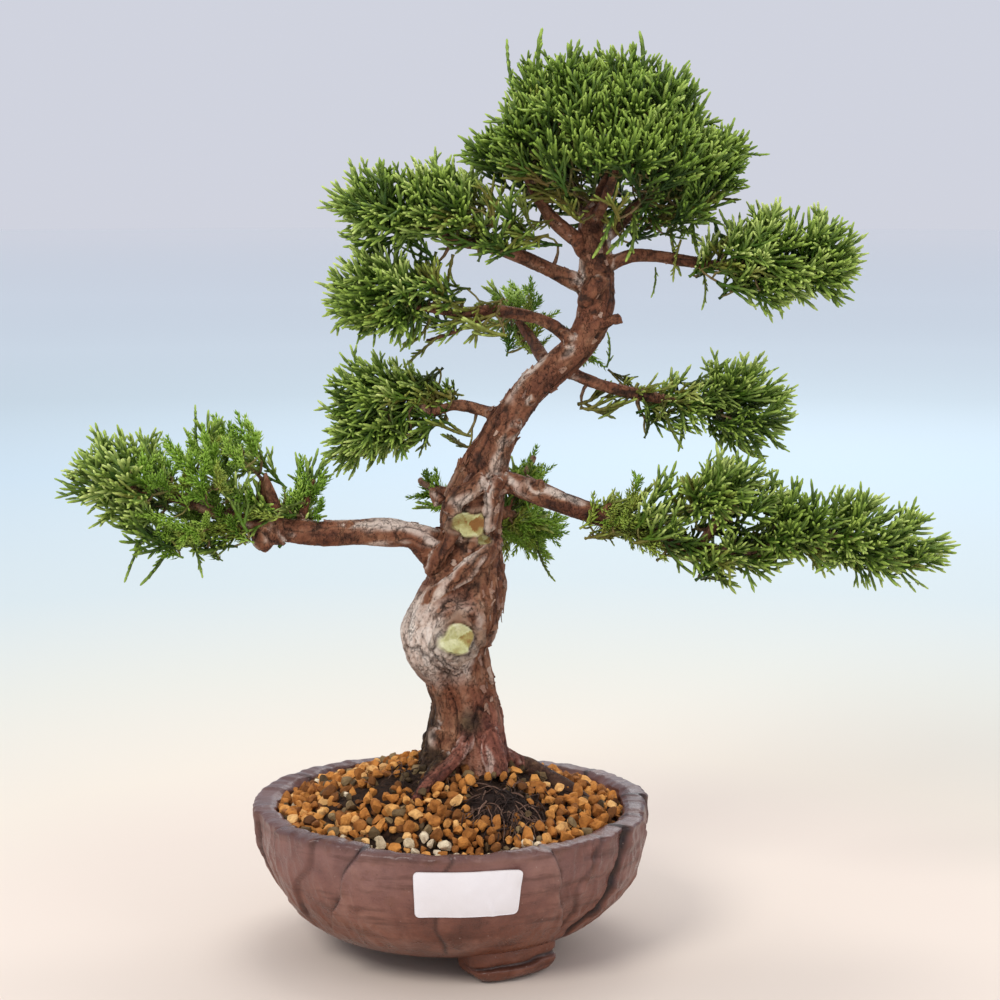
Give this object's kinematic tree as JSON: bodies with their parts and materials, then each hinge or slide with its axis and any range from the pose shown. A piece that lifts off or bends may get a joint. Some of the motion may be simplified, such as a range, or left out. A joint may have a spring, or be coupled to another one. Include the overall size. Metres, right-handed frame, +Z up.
{
  "type": "bonsai tree in a pot",
  "caption": "Juniper bonsai with a curved, scarred trunk and tiered foliage pads, growing in granular soil in a hand-pinched stoneware bowl on slab feet.",
  "frame": {"origin": "middle of the whole model's box in plan, on the surface that the three feet stand on", "axes": "+Z up the trunk; +X to the right as seen from the front, along the long right branch; +Y away from the viewer, towards the tree's back"},
  "size_m": [0.326, 0.145, 0.3375],
  "materials": {
    "clay": "satin",
    "plastic_mesh": "matte",
    "clip_wire": "satin",
    "label_paper": "satin",
    "granules": "matte",
    "fine_roots": "matte",
    "bark": "matte",
    "foliage": "matte"
  },
  "bodies": {
    "root": {"branch_back_left": "bark", "branch_back_low": "bark", "branch_back_mid": "bark", "branch_back_upper": "bark", "branch_crown_back": "bark", "branch_crown_front": "bark", "branch_crown_left": "bark", "branch_crown_right": "bark", "branch_left_low": "bark", "branch_left_mid": "bark", "branch_left_upper": "bark", "branch_left_upper_mid": "bark", "branch_right_low": "bark", "branch_right_mid": "bark", "branch_right_upper": "bark", "drain_mesh": "plastic_mesh", "foliage_back_left": "foliage", "foliage_back_low": "foliage", "foliage_back_low_shoot": "foliage", "foliage_back_mid": "foliage", "foliage_back_upper": "foliage", "foliage_crown": "foliage", "foliage_left_low": "foliage", "foliage_left_low_shoot": "foliage", "foliage_left_mid": "foliage", "foliage_left_upper": "foliage", "foliage_left_upper_mid": "foliage", "foliage_right_low": "foliage", "foliage_right_mid": "foliage", "foliage_right_upper": "foliage", "foot_back_left": "clay", "foot_back_right": "clay", "foot_front_right": "clay", "mesh_clip": "clip_wire", "paper_label": "label_paper", "pot_bowl": "clay", "root_ball": "fine_roots", "soil": "granules", "surface_root_back": "bark", "surface_root_left": "bark", "surface_root_right": "bark", "trunk": "bark"}
  },
  "joints": []
}
